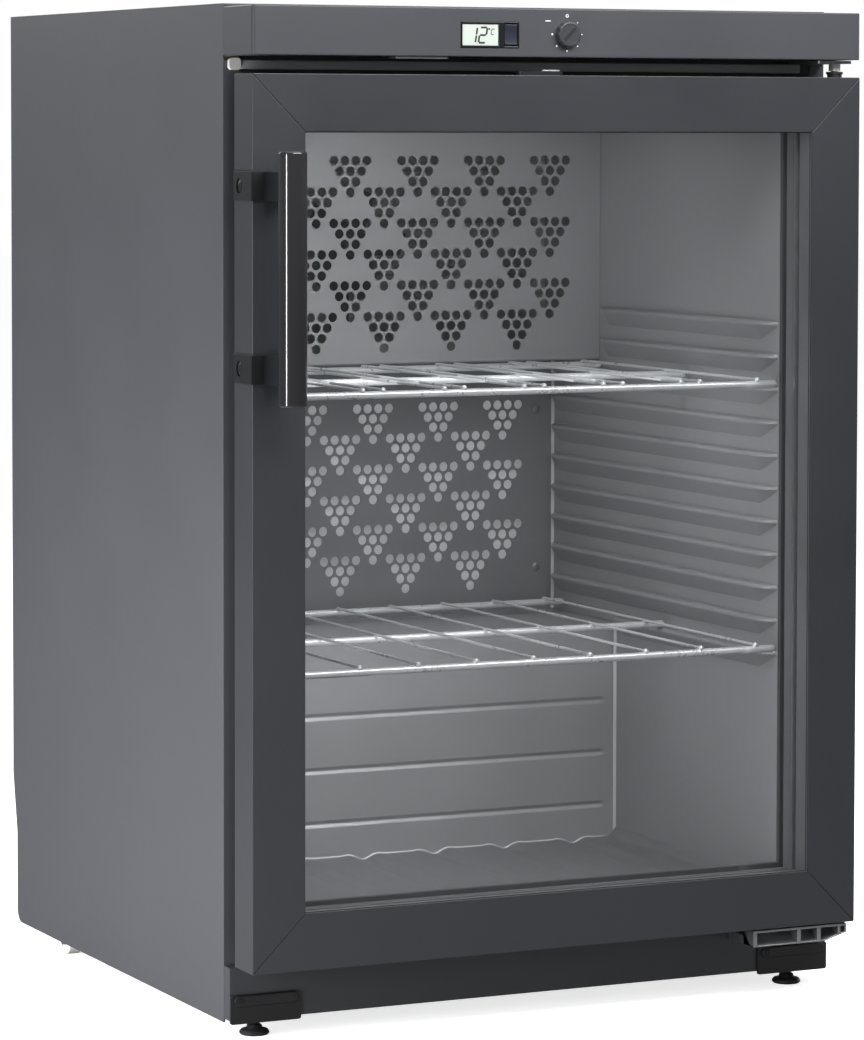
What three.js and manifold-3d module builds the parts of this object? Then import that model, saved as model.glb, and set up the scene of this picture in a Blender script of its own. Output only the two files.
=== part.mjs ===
// Glass door merchandiser: an under-counter refrigerated display cabinet.
// Millimetres, +Z up. Cabinet frame: X to the right, Y into the cabinet from
// the door's front face, Z up from the floor. The outer group puts the origin
// at the middle of the footprint.

import * as THREE from "three";
import { mergeVertices } from "three/addons/utils/BufferGeometryUtils.js";
import Module from "manifold-3d";

const wasm = await Module();
wasm.setup();

// ---------------------------------------------------------------- dimensions

const HALF_WIDTH = 300;
const SHEET = 1.5;
const GAP = 0.3;

const BODY_FRONT = 65;
const BODY_REAR = 605;
const BODY_TOP = 902;
const BODY_BOTTOM = 13.5;
const BACK_SHEET_Y = 596;

const FASCIA_BOTTOM = 856.8;
const FASCIA_TOP = 899.3;
const FASCIA_FRONT = -1;
const FASCIA_WALL = 2.5;

const DOOR_BOTTOM = 66.7;
const DOOR_TOP = 841;
const DOOR_DEPTH = 40;
const RAIL_WIDTH = 49.5;
const RAIL_FACE = 3;
const RAIL_SIDE = 14;
const MITRE_GAP = 0.2;

const HINGE_X = 285;
const HINGE_Y = 20;
const PIN_RADIUS = 3.5;

const CAVITY_HALF = 256.5;
const CAVITY_TOP = 791.3;
const CAVITY_FLOOR = 88.8;
const CAVITY_REAR = 547;
const LINER = 2.5;
const SILL_TOP = 114.3;
const STEP_FRONT = 389;
const STEP_TOP = 303.3;

const DUCT_FRONT = 425;
const DUCT_BOTTOM = 564;
const DUCT_PANEL_Y = 527;
const VENT_PITCH_X = 73.8;
const VENT_PITCH_Z = 60.5;

const RIB_PITCH = 30.6;
const RIB_TOP_Z = 610;
const RIB_COUNT = 11;
const RIB_NOSE = 246.5;

const SHELF_HALF = 250.5;
const SHELF_BAR = 3.4;
const SHELF_WIRE = 1.6;
const SHELF_FRONT = 62;
const UPPER_SHELF_Z = 559.5;
const LOWER_SHELF_Z = 314.5;
const UPPER_SHELF_REAR = 411;
const LOWER_SHELF_REAR = 492;

const HANDLE_X = -280;
const HANDLE_Y = -40;
const HANDLE_RADIUS = 12.5;
const HANDLE_LOW = 557.8;
const HANDLE_HIGH = 774.9;

const KNOB_Z = 877;
const FOOT_X = 269;
const FOOT_Y = 70;
const ROLLER_X = 286;
const ROLLER_Y = 480;
const ROLLER_RADIUS = 12;
const FAN_Z = 680;

// ------------------------------------------------------------------- helpers

function toSolid(geometry) {
  const bare = geometry.clone();
  bare.deleteAttribute("normal");
  bare.deleteAttribute("uv");
  const merged = mergeVertices(bare, 1e-4);
  const vertProperties = new Float32Array(merged.attributes.position.array);
  const triVerts = new Uint32Array(merged.index.array);
  return new wasm.Manifold(new wasm.Mesh({ numProp: 3, vertProperties, triVerts }));
}

function toGeometry(solid) {
  const mesh = solid.getMesh();
  const count = mesh.vertProperties.length / mesh.numProp;
  const position = new Float32Array(count * 3);
  for (let i = 0; i < count; i += 1) {
    position[3 * i] = mesh.vertProperties[mesh.numProp * i];
    position[3 * i + 1] = mesh.vertProperties[mesh.numProp * i + 1];
    position[3 * i + 2] = mesh.vertProperties[mesh.numProp * i + 2];
  }
  const geometry = new THREE.BufferGeometry();
  geometry.setAttribute("position", new THREE.BufferAttribute(position, 3));
  geometry.setIndex(new THREE.BufferAttribute(new Uint32Array(mesh.triVerts), 1));
  geometry.computeVertexNormals();
  return geometry;
}

function polygon(points) {
  return new THREE.Shape(points.map(([a, b]) => new THREE.Vector2(a, b)));
}

function circle(a, b, radius) {
  const shape = new THREE.Shape();
  shape.absarc(a, b, radius, 0, 2 * Math.PI, false);
  return shape;
}

function roundRect(a0, a1, b0, b1, radius) {
  const shape = new THREE.Shape();
  shape.moveTo(a0 + radius, b0);
  shape.lineTo(a1 - radius, b0);
  shape.absarc(a1 - radius, b0 + radius, radius, -Math.PI / 2, 0, false);
  shape.lineTo(a1, b1 - radius);
  shape.absarc(a1 - radius, b1 - radius, radius, 0, Math.PI / 2, false);
  shape.lineTo(a0 + radius, b1);
  shape.absarc(a0 + radius, b1 - radius, radius, Math.PI / 2, Math.PI, false);
  shape.lineTo(a0, b0 + radius);
  shape.absarc(a0 + radius, b0 + radius, radius, Math.PI, 1.5 * Math.PI, false);
  return shape;
}

function extrude(shape, depth, segments) {
  const options = { depth, bevelEnabled: false, steps: 1, curveSegments: segments };
  return new THREE.ExtrudeGeometry(shape, options);
}

// A shape drawn in X and Y, raised from z0 to z1.
function prismZ(shape, z0, z1, segments = 8) {
  const geometry = extrude(shape, z1 - z0, segments);
  geometry.translate(0, 0, z0);
  return toSolid(geometry);
}

// A shape drawn in Y and Z, run from x0 to x1.
function prismX(shape, x0, x1, segments = 8) {
  const geometry = extrude(shape, x1 - x0, segments);
  const basis = new THREE.Matrix4();
  const alongY = new THREE.Vector3(0, 1, 0);
  const alongZ = new THREE.Vector3(0, 0, 1);
  const alongX = new THREE.Vector3(1, 0, 0);
  geometry.applyMatrix4(basis.makeBasis(alongY, alongZ, alongX));
  geometry.translate(x0, 0, 0);
  return toSolid(geometry);
}

// A shape drawn in X and Z, run from y0 to y1.
function prismY(shape, y0, y1, segments = 8) {
  const geometry = extrude(shape, y1 - y0, segments);
  const basis = new THREE.Matrix4();
  const alongX = new THREE.Vector3(1, 0, 0);
  const alongZ = new THREE.Vector3(0, 0, 1);
  const backY = new THREE.Vector3(0, -1, 0);
  geometry.applyMatrix4(basis.makeBasis(alongX, alongZ, backY));
  geometry.translate(0, y1, 0);
  return toSolid(geometry);
}

function box(x0, x1, y0, y1, z0, z1) {
  const geometry = new THREE.BoxGeometry(x1 - x0, y1 - y0, z1 - z0);
  geometry.translate((x0 + x1) / 2, (y0 + y1) / 2, (z0 + z1) / 2);
  return toSolid(geometry);
}

function join(first, ...others) {
  return others.reduce((sum, other) => sum.add(other), first);
}

function cut(first, ...tools) {
  return tools.reduce((rest, tool) => rest.subtract(tool), first);
}

// A flat frame in X and Z: a rectangle with a rectangular opening.
function ringY(outer, inner, y0, y1) {
  const [ox0, ox1, oz0, oz1] = outer;
  const [ix0, ix1, iz0, iz1] = inner;
  return cut(box(ox0, ox1, y0, y1, oz0, oz1), box(ix0, ix1, y0 - 1, y1 + 1, iz0, iz1));
}

function paint(color, roughness, metalness) {
  return new THREE.MeshStandardMaterial({ color, roughness, metalness });
}

function place(group, name, solid, material, x = 0, y = 0, z = 0) {
  const mesh = new THREE.Mesh(toGeometry(solid), material);
  mesh.name = name;
  mesh.position.set(x, y, z);
  group.add(mesh);
  return mesh;
}

// -------------------------------------------------------------------- groups

const merchandiser = new THREE.Group();
const cabinet = new THREE.Group();
cabinet.position.set(1, -276.25, 0);
merchandiser.add(cabinet);

const casing = new THREE.Group();
const chamber = new THREE.Group();
const machine = new THREE.Group();
const header = new THREE.Group();
const door = new THREE.Group();
cabinet.add(casing, chamber, machine, header, door);

// ----------------------------------------------------------- casing: panels

function sidePanel(side) {
  const outline = new THREE.Shape();
  outline.moveTo(BODY_FRONT, BODY_BOTTOM);
  outline.lineTo(582, BODY_BOTTOM);
  outline.absarc(582, BODY_BOTTOM + 12, 12, -Math.PI / 2, 0, false);
  outline.lineTo(594, 102);
  outline.lineTo(BODY_REAR, 159);
  outline.lineTo(BODY_REAR, BODY_TOP);
  outline.lineTo(BODY_FRONT, BODY_TOP);
  const inner = HALF_WIDTH - SHEET;
  const ends = [side * inner, side * HALF_WIDTH].sort((a, b) => a - b);
  const sheet = prismX(outline, ends[0], ends[1], 4);
  const lip = [side * 285, side * (inner + 0.5)].sort((a, b) => a - b);
  const frontReturn = box(lip[0], lip[1], BODY_FRONT, BODY_FRONT + SHEET, 41, 852.8);
  return join(sheet, frontReturn);
}

place(casing, "side_panel_left", sidePanel(-1), paint(0x6b6d70, 0.45, 0.6));
place(casing, "side_panel_right", sidePanel(1), paint(0x6b6d70, 0.45, 0.6));

const topPanel = box(-298.2, 298.2, 66.8, 604, 899.8, BODY_TOP);
place(casing, "top_panel", topPanel, paint(0x707275, 0.4, 0.6));

const rearPanel = box(-298.2, 298.2, BACK_SHEET_Y, BACK_SHEET_Y + SHEET, 271, 899.5);
place(casing, "rear_panel", rearPanel, paint(0x8a8c8f, 0.5, 0.7));

// The base pan carries the rear rollers in lugs and is notched around them.
function basePan() {
  let pan = box(-298.2, 298.2, 97, 583, 15.5, 17);
  for (const side of [-1, 1]) {
    const notch = [side * 274, side * 300].sort((a, b) => a - b);
    pan = cut(pan, box(notch[0], notch[1], 465, 495, 14, 18));
    const lugX = side > 0 ? 270 : -272;
    const lug = box(lugX, lugX + 2, 474, 486, 4, 16);
    pan = join(pan, lug);
    const stubX = side > 0 ? 280 : -288;
    pan = join(pan, box(stubX, stubX + 8, 564, 582, 7, 16));
  }
  return cut(pan, prismX(circle(ROLLER_Y, ROLLER_RADIUS, 3.3), -275, 275));
}

place(casing, "base_pan", basePan(), paint(0x8d8f92, 0.5, 0.8));

// Foam body: open at the front for the chamber and at the rear for the machine.
function insulation() {
  const side = HALF_WIDTH - SHEET - GAP;
  const foam = box(-side, side, 68, BACK_SHEET_Y - GAP, 17.3, 899.5);
  const half = CAVITY_HALF + LINER + GAP;
  const upper = box(-half, half, 60, 549.8, 300.5, 794.1);
  const lower = box(-half, half, 60, 391.8, 86, 301);
  const recess = box(-310, 310, 422, 610, 0, 270);
  const railSpace = box(-310, 310, 60, 96.3, 0, 40.3);
  return cut(foam, upper, lower, recess, railSpace);
}

place(casing, "insulation_shell", insulation(), paint(0xd9cfa8, 0.9, 0));

// ------------------------------------------------------ casing: lower front

function plinth() {
  const front = box(-299.8, 299.8, 52, 53.5, 17, 63.5);
  const left = box(-299.8, -298.3, 52, 64.7, 17, 63.5);
  const right = box(298.3, 299.8, 52, 64.7, 17, 63.5);
  return join(front, left, right);
}

place(casing, "plinth_panel", plinth(), paint(0x26272a, 0.5, 0.4));

function cornerCover(x0, x1, screwX) {
  const plate = prismY(roundRect(x0, x1, 14, 39.5, 2), 49.5, 51.7, 2);
  const pad = prismY(roundRect(x0 + 3, x1 - 3, 29.3, 39.3, 4.9), 47.5, 49.8, 6);
  const screwRecess = prismY(circle(screwX, 34.3, 3.4), 46, 49, 5);
  return cut(join(plate, pad), screwRecess);
}

place(casing, "corner_cover_left", cornerCover(-300, -233, -291), paint(0x1e1f22, 0.5, 0.1));
place(casing, "corner_cover_right", cornerCover(227, 300, 236), paint(0x1e1f22, 0.5, 0.1));

// Channel that holds the two screw feet.
function footRail() {
  const web = box(-297, 297, 55, 96, 18, 19.5);
  const front = box(-297, 297, 55, 56.5, 18, 40);
  const rear = box(-297, 297, 94.5, 96, 18, 40);
  const left = prismZ(circle(-FOOT_X, FOOT_Y, 4.7), 17, 21);
  const right = prismZ(circle(FOOT_X, FOOT_Y, 4.7), 17, 21);
  return cut(join(web, front, rear), left, right);
}

place(casing, "front_foot_rail", footRail(), paint(0x77797c, 0.5, 0.8));

function screwFoot() {
  const pad = prismZ(circle(0, 0, 13.25), 0, 4.5, 10);
  const neck = prismZ(circle(0, 0, 7), 4.2, 9, 8);
  const nut = prismZ(circle(0, 0, 7.6), 11.5, 17.3, 3);
  const stem = prismZ(circle(0, 0, 4.2), 8.5, 38, 6);
  return join(pad, neck, stem, nut);
}

place(casing, "foot_left", screwFoot(), paint(0x2b2c2e, 0.6, 0.3), -FOOT_X, FOOT_Y, 0);
place(casing, "foot_right", screwFoot(), paint(0x2b2c2e, 0.6, 0.3), FOOT_X, FOOT_Y, 0);

const axle = prismX(circle(0, 0, 3), -296, 296, 6);
place(casing, "roller_axle", axle, paint(0x9a9c9f, 0.35, 0.9), 0, ROLLER_Y, ROLLER_RADIUS);

function roller() {
  const tread = prismX(circle(0, 0, ROLLER_RADIUS), -6, 6, 12);
  return cut(tread, prismX(circle(0, 0, 3.3), -7, 7, 6));
}

const rollerPaint = paint(0xd8d8d4, 0.6, 0);
place(casing, "roller_left", roller(), rollerPaint, -ROLLER_X, ROLLER_Y, ROLLER_RADIUS);
place(casing, "roller_right", roller(), rollerPaint, ROLLER_X, ROLLER_Y, ROLLER_RADIUS);

// ----------------------------------------------------------- chamber: liner

function ribOnWall(side, z) {
  const nearStep = z < STEP_TOP + 10;
  const nearDuct = z > DUCT_BOTTOM;
  const rear = nearStep ? 382 : nearDuct ? 414 : 521;
  const root = CAVITY_HALF + 0.4;
  const profile = [
    [side * root, z + 6.5],
    [side * (RIB_NOSE + 1), z + 6],
    [side * RIB_NOSE, z + 3],
    [side * RIB_NOSE, z - 1],
    [side * root, z - 8],
  ];
  return prismY(polygon(profile), 70, rear);
}

function linerWall(side) {
  const outline = polygon([
    [68, 89.1],
    [388.7, 89.1],
    [388.7, 303.6],
    [546.7, 303.6],
    [546.7, 791],
    [68, 791],
  ]);
  const faces = [side * CAVITY_HALF, side * (CAVITY_HALF + LINER)].sort((a, b) => a - b);
  let wall = prismX(outline, faces[0], faces[1]);
  for (let i = 0; i < RIB_COUNT; i += 1) {
    wall = join(wall, ribOnWall(side, RIB_TOP_Z - i * RIB_PITCH));
  }
  return wall;
}

const linerPaint = () => paint(0x7c7e81, 0.35, 0.7);
place(chamber, "liner_left_wall", linerWall(-1), linerPaint());
place(chamber, "liner_right_wall", linerWall(1), linerPaint());

const ceiling = box(-259, 259, 68, 547, CAVITY_TOP, CAVITY_TOP + LINER);
place(chamber, "liner_ceiling", ceiling, linerPaint());

const floorSheet = box(-259, 259, 68, 391.5, CAVITY_FLOOR - LINER, CAVITY_FLOOR);
const sillLip = box(-256.2, 256.2, 68, 70.5, CAVITY_FLOOR - 1, SILL_TOP);
place(chamber, "liner_floor", join(floorSheet, sillLip), linerPaint());

const rearWall = box(-256.2, 256.2, CAVITY_REAR, CAVITY_REAR + LINER, 303.6, 791);
place(chamber, "liner_rear_wall", rearWall, linerPaint());

// Step over the machine compartment, with three pressed grooves in its front.
function linerStep() {
  const front = box(-259, 259, STEP_FRONT, STEP_FRONT + LINER, 89.1, STEP_TOP);
  const shelf = box(-259, 259, STEP_FRONT, 546.7, STEP_TOP - LINER, STEP_TOP);
  let step = join(front, shelf);
  for (const z of [227.4, 175.3, 123.3]) {
    const groove = polygon([
      [STEP_FRONT - 1, z - 3.2],
      [STEP_FRONT + 1.2, z],
      [STEP_FRONT - 1, z + 3.2],
    ]);
    step = cut(step, prismX(groove, -241, 241));
  }
  return step;
}

place(chamber, "liner_step", linerStep(), linerPaint());

const mouthOuter = [-284.7, 284.7, 66, 843.5];
const mouthInner = [-CAVITY_HALF, CAVITY_HALF, SILL_TOP, CAVITY_TOP];
const frontFrame = ringY(mouthOuter, mouthInner, 63, 67.7);
place(chamber, "liner_front_frame", frontFrame, paint(0x3a3b3e, 0.5, 0.3));

// Slanted air slots in staggered rows, cut from a sheet lying in X and Z.
function ventSlots(sheet, y0, y1, rows, topZ, limit) {
  let vented = sheet;
  for (let row = 0; row < rows; row += 1) {
    const z = topZ - row * VENT_PITCH_Z / 2;
    const shift = row % 2 === 0 ? 0 : VENT_PITCH_X / 2;
    for (let i = -3; i <= 3; i += 1) {
      const x = i * VENT_PITCH_X + shift - 21;
      if (Math.abs(x) < limit) {
        const slot = polygon([
          [x - 16, z - 4],
          [x + 16, z + 1],
          [x + 16, z + 6],
          [x - 16, z + 1],
        ]);
        vented = cut(vented, prismY(slot, y0, y1));
      }
    }
  }
  return vented;
}

const coverFront = box(-256, 256, DUCT_FRONT, DUCT_FRONT + 2, DUCT_BOTTOM, 791);
const coverBottom = box(-256, 256, DUCT_FRONT, 546.7, DUCT_BOTTOM, DUCT_BOTTOM + 2);
const coverVented = ventSlots(coverFront, 420, 430, 6, 776, 215);
place(chamber, "evaporator_cover", join(coverVented, coverBottom), linerPaint());

const ductPanel = box(-256, 256, DUCT_PANEL_Y, DUCT_PANEL_Y + 1.5, 303.6, 563.7);
const ductVented = ventSlots(ductPanel, 520, 530, 6, 540, 215);
place(chamber, "rear_duct_panel", ductVented, linerPaint());

function evaporatorBlock() {
  let block = box(-210, 210, 500, 540, 600, 780);
  for (let i = 0; i < 6; i += 1) {
    const z = 622 + i * 26;
    block = cut(block, box(-200, 200, 495, 512, z, z + 8));
  }
  const leftFoot = box(-190, -180, 505, 535, 566.3, 601);
  const rightFoot = box(180, 190, 505, 535, 566.3, 601);
  return join(block, leftFoot, rightFoot);
}

place(chamber, "evaporator", evaporatorBlock(), paint(0xb9bbbd, 0.4, 0.9));

const motorCan = prismY(circle(0, FAN_Z, 22), 472, 495, 8);
const motorStrut = box(-10, 10, 488, 494, 566.3, FAN_Z);
place(chamber, "fan_motor", join(motorCan, motorStrut), paint(0x2a2a2c, 0.5, 0.2));

function fanRotor() {
  let rotor = prismY(circle(0, 0, 14), -12, 12, 8);
  for (let i = 0; i < 5; i += 1) {
    const turn = (i * 2 * Math.PI) / 5;
    const blade = new THREE.BoxGeometry(42, 2, 26);
    blade.translate(33, 0, 0);
    blade.rotateX(0.6);
    blade.rotateY(turn);
    rotor = join(rotor, toSolid(blade));
  }
  return rotor;
}

place(chamber, "fan_rotor", fanRotor(), paint(0x2e2f31, 0.5, 0), 0, 457.5, FAN_Z);

// ---------------------------------------------------------- chamber: shelves

function wireShelf(rear, wirePositions) {
  const middle = (SHELF_FRONT + rear) / 2;
  const bar = (y) => prismX(circle(y, 0, SHELF_BAR), -SHELF_HALF, SHELF_HALF, 5);
  let shelf = join(bar(SHELF_FRONT), bar(middle), bar(rear));
  for (const x of wirePositions) {
    const wire = prismY(circle(x, 4.2, SHELF_WIRE), SHELF_FRONT - 1.5, rear + 1.5, 3);
    shelf = join(shelf, wire);
  }
  return shelf;
}

const lowerWires = [-4, -3, -2, -1, 0, 1, 2, 3, 4].map((i) => i * 57.2);
const upperWires = [-229.2, 229.2];
for (const pair of [-2, -1, 0, 1, 2]) {
  upperWires.push(pair * 79.6 - 9.9, pair * 79.6 + 9.9);
}

const wirePaint = () => paint(0xd5d7d9, 0.25, 0.9);
const upperShelf = wireShelf(UPPER_SHELF_REAR, upperWires);
const lowerShelf = wireShelf(LOWER_SHELF_REAR, lowerWires);
place(chamber, "shelf_upper", upperShelf, wirePaint(), 0, 0, UPPER_SHELF_Z);
place(chamber, "shelf_lower", lowerShelf, wirePaint(), 0, 0, LOWER_SHELF_Z);

// ------------------------------------------------------- machine compartment

function compressor() {
  const profile = [
    [0, 3],
    [50, 3],
    [60, 22],
    [62, 60],
    [62, 90],
    [58, 125],
    [40, 150],
    [0, 157],
  ];
  const points = profile.map(([r, z]) => new THREE.Vector2(r, z));
  const pot = new THREE.LatheGeometry(points, 20);
  pot.rotateX(Math.PI / 2);
  const shell = toSolid(pot);
  const footPlate = box(-70, 70, -25, 25, 0, 5);
  return join(shell, footPlate);
}

place(machine, "compressor", compressor(), paint(0x1b1b1d, 0.4, 0.5), -150, 505, 17.3);

function dripTray() {
  const outside = box(-65, 65, -60, 60, 0, 25);
  const hollow = box(-63, 63, -58, 58, 2, 30);
  return cut(outside, hollow);
}

place(machine, "drip_tray", dripTray(), paint(0x2c2c2e, 0.6, 0), -150, 505, 180);

function condenser() {
  let block = box(20, 190, 440, 570, 17.3, 195);
  for (let i = 0; i < 7; i += 1) {
    const x = 34 + i * 21;
    block = cut(block, box(x, x + 12, 430, 558, 30, 182));
  }
  return block;
}

place(machine, "condenser_coil", condenser(), paint(0x3a3b3d, 0.5, 0.7));

function machineGrille() {
  let sheet = box(-298.2, 298.2, 584, 586, 18, 269.7);
  for (let row = 0; row < 8; row += 1) {
    const z = 84 + row * 22;
    for (const x of [-270, -85, 100]) {
      sheet = cut(sheet, box(x, x + 170, 580, 590, z, z + 9));
    }
  }
  return cut(sheet, box(204.5, 233.5, 580, 590, 39.5, 64.5));
}

place(machine, "machine_grille", machineGrille(), paint(0x3b3c3e, 0.6, 0.5));

function powerInlet() {
  const body = box(205, 233, 560, 588.5, 40, 64);
  const socket = box(208, 230, 572, 590, 44, 60);
  let inlet = cut(body, socket);
  for (const x of [213, 219, 225]) {
    inlet = join(inlet, box(x - 1, x + 1, 571.5, 584, 50, 54));
  }
  return inlet;
}

place(machine, "power_inlet", powerInlet(), paint(0x151517, 0.5, 0));

// ------------------------------------------------- header: fascia, controls

function fascia() {
  const radius = 3.5;
  const rear = BODY_FRONT - GAP;
  const outline = new THREE.Shape();
  outline.moveTo(-HALF_WIDTH, rear);
  outline.lineTo(-HALF_WIDTH, FASCIA_FRONT + radius);
  outline.absarc(-HALF_WIDTH + radius, FASCIA_FRONT + radius, radius, Math.PI, 1.5 * Math.PI);
  outline.lineTo(HALF_WIDTH - radius, FASCIA_FRONT);
  outline.absarc(HALF_WIDTH - radius, FASCIA_FRONT + radius, radius, 1.5 * Math.PI, 2 * Math.PI);
  outline.lineTo(HALF_WIDTH, rear);
  const block = prismZ(outline, FASCIA_BOTTOM, FASCIA_TOP, 4);
  const inside = HALF_WIDTH - FASCIA_WALL;
  const low = FASCIA_BOTTOM + FASCIA_WALL;
  const high = FASCIA_TOP - FASCIA_WALL;
  const hollow = box(-inside, inside, FASCIA_FRONT + FASCIA_WALL, 70, low, high);
  const display = box(-104, -47, -5, 5, 864.1, 887.5);
  const knobHole = prismY(circle(0, KNOB_Z, 4), -5, 5);
  const clip = box(-164, -114, 2, 20, 854.6, FASCIA_BOTTOM + 0.5);
  return join(cut(block, hollow, display, knobHole), clip);
}

place(header, "fascia", fascia(), paint(0x57585b, 0.45, 0.5));

const bezelBlock = box(-103.5, -47.6, -1.6, 9, 864.6, 887.1);
const lcdPocket = box(-102.3, -67, -3, 3.5, 866.2, 885.2);
const rockerHole = box(-61.6, -48.8, -3, 12, 866, 886.2);
const bezel = cut(bezelBlock, lcdPocket, rockerHole);
place(header, "display_bezel", bezel, paint(0x141518, 0.35, 0));

const lcd = box(-102, -67.3, -0.7, 3.2, 866.5, 884.9);
place(header, "lcd_window", lcd, paint(0xb4bcb4, 0.2, 0));

// Rocker, drawn about its own pivot.
const rockerProfile = polygon([
  [-5.5, -9.2],
  [-4.9, 0],
  [-5.5, 9.2],
  [2, 9.2],
  [2, -9.2],
]);
const rocker = prismX(rockerProfile, -6, 6);
place(header, "rocker_switch", rocker, paint(0x23262e, 0.35, 0), -55.2, 4, 876.1);

const thermostatCase = box(-14, 14, 8, 34, 863, 891);
const thermostatNose = prismY(circle(0, KNOB_Z, 5.6), 1.8, 8.5);
const shaftBore = prismY(circle(0, KNOB_Z, 3.4), 0, 16);
const thermostat = cut(join(thermostatCase, thermostatNose), shaftBore);
place(header, "thermostat_body", thermostat, paint(0xc9c9c4, 0.5, 0));

function thermostatKnob() {
  const grip = prismY(circle(0, 0, 11.6), -7.6, -1.6, 6);
  const shaft = prismY(circle(0, 0, 3), -2, 14, 6);
  const slot = new THREE.BoxGeometry(16, 2.4, 2);
  slot.rotateY(-Math.PI / 4);
  slot.translate(0, -7.6, 0);
  return cut(join(grip, shaft), toSolid(slot));
}

place(header, "thermostat_knob", thermostatKnob(), paint(0x2a2b2e, 0.4, 0.1), 0, 0, KNOB_Z);

const crossRail = box(-283.5, 274.3, 64, 67.7, 845.3, 853.1);
place(header, "top_cross_rail", crossRail, paint(0x56575a, 0.5, 0.5));

const plug = prismY(roundRect(-296, -285.3, 844.6, 855, 3), 60, 64.6, 4);
place(header, "hinge_hole_plug", plug, paint(0xe4e4e0, 0.5, 0));

// ------------------------------------------------------------------- hinges

function pinAt(z0, z1) {
  return prismZ(circle(HINGE_X, HINGE_Y, PIN_RADIUS), z0, z1, 8);
}

const upperLeaf = prismZ(roundRect(262, 298, 9, 67.5, 4), 853.5, 856.2, 4);
const upperHinge = join(upperLeaf, pinAt(833, 854));
place(header, "upper_hinge_plate", upperHinge, paint(0x9b9da0, 0.4, 0.9));

function bush(radius, bore, z0, z1) {
  const outside = prismZ(circle(HINGE_X, HINGE_Y, radius), z0, z1, 10);
  return cut(outside, prismZ(circle(HINGE_X, HINGE_Y, bore), z0 - 1, z1 + 1, 8));
}

place(header, "upper_hinge_bush", bush(5.4, 3.9, 846.9, 853.2), paint(0xe8e8e4, 0.5, 0));

// Cast lower bracket: a tapering block with three open pockets in its front.
function lowerHinge() {
  const profile = polygon([
    [197, 49.3],
    [272, 49],
    [295, 55.5],
    [295, 64.8],
    [197, 64.8],
  ]);
  let casting = prismY(profile, 5, 51.7);
  for (const [x0, x1] of [[226, 248], [252, 269], [273, 291]]) {
    casting = cut(casting, box(x0, x1, 0, 16, 57.5, 62.3));
  }
  return join(casting, pinAt(64, 76));
}

place(casing, "lower_hinge_bracket", lowerHinge(), paint(0xa9abae, 0.4, 0.9));

// --------------------------------------------------------------------- door

// Rail section: a face flange RAIL_WIDTH wide and an outer wall RAIL_SIDE thick.
function upright(side) {
  const outer = side * HALF_WIDTH;
  const wall = side * (HALF_WIDTH - RAIL_SIDE);
  const lip = side * (HALF_WIDTH - RAIL_WIDTH);
  const section = polygon([
    [outer, 0],
    [lip, 0],
    [lip, RAIL_FACE],
    [wall, RAIL_FACE],
    [wall, DOOR_DEPTH],
    [outer, DOOR_DEPTH],
  ]);
  const bar = prismZ(section, DOOR_BOTTOM, DOOR_TOP);
  const mitres = polygon([
    [outer, DOOR_BOTTOM + MITRE_GAP],
    [lip, DOOR_BOTTOM + RAIL_WIDTH + MITRE_GAP],
    [lip, DOOR_TOP - RAIL_WIDTH - MITRE_GAP],
    [outer, DOOR_TOP - MITRE_GAP],
  ]);
  return bar.intersect(prismY(mitres, -1, DOOR_DEPTH + 1));
}

function crossMember(edge, towards) {
  const wall = edge + towards * RAIL_SIDE;
  const lip = edge + towards * RAIL_WIDTH;
  const section = polygon([
    [0, edge],
    [0, lip],
    [RAIL_FACE, lip],
    [RAIL_FACE, wall],
    [DOOR_DEPTH, wall],
    [DOOR_DEPTH, edge],
  ]);
  const bar = prismX(section, -HALF_WIDTH, HALF_WIDTH);
  const end = HALF_WIDTH - MITRE_GAP;
  const mitres = polygon([
    [-end, edge],
    [end, edge],
    [end - RAIL_WIDTH, lip],
    [-end + RAIL_WIDTH, lip],
  ]);
  return bar.intersect(prismY(mitres, -1, DOOR_DEPTH + 1));
}

const framePaint = () => paint(0x46474b, 0.4, 0.6);
place(door, "door_frame_left", upright(-1), framePaint());
place(door, "door_frame_right", upright(1), framePaint());

const topHole = prismZ(circle(HINGE_X, HINGE_Y, 6), 832.5, 850);
const boltPocket = box(-20, -1, 9, 15, 829, 850);

const doorTop = cut(crossMember(DOOR_TOP, -1), topHole, boltPocket);
const doorBottomHole = prismZ(circle(HINGE_X, HINGE_Y, 3.9), 60, 77);
const doorBottom = cut(crossMember(DOOR_BOTTOM, 1), doorBottomHole);
place(door, "door_frame_top", doorTop, framePaint());
place(door, "door_frame_bottom", doorBottom, framePaint());

const paneX = HALF_WIDTH - RAIL_SIDE - GAP;
const paneLow = DOOR_BOTTOM + RAIL_SIDE + GAP;
const paneHigh = DOOR_TOP - RAIL_SIDE - GAP;

function innerFrame() {
  const opening = [-253, 253, 112.5, 795];
  const ring = ringY([-paneX, paneX, paneLow, paneHigh], opening, 29.9, 50);
  const flange = ringY([-294, 294, 72.7, 835], opening, 40.3, 50);
  return join(ring, flange);
}

place(door, "door_inner_frame", innerFrame(), paint(0x55565a, 0.5, 0.2));

const gasket = ringY([-289, 289, 78, 829.5], [-265, 265, 102, 805.5], 50.3, 62.4);
place(door, "door_gasket", gasket, paint(0x161618, 0.8, 0));

const outerPane = box(-paneX, paneX, 3.3, 7.3, paneLow, paneHigh);
const innerPane = box(-paneX, paneX, 25.5, 29.5, paneLow, paneHigh);
place(door, "glass_outer", outerPane, paint(0xcfd8d6, 0.05, 0));
place(door, "glass_inner", innerPane, paint(0xcfd8d6, 0.05, 0));

const spacer = ringY([-264, 264, 102.2, 805.4], [-252, 252, 114.2, 793.4], 7.6, 25.2);
place(door, "glass_spacer", spacer, paint(0x8f9194, 0.4, 0.7));

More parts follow.
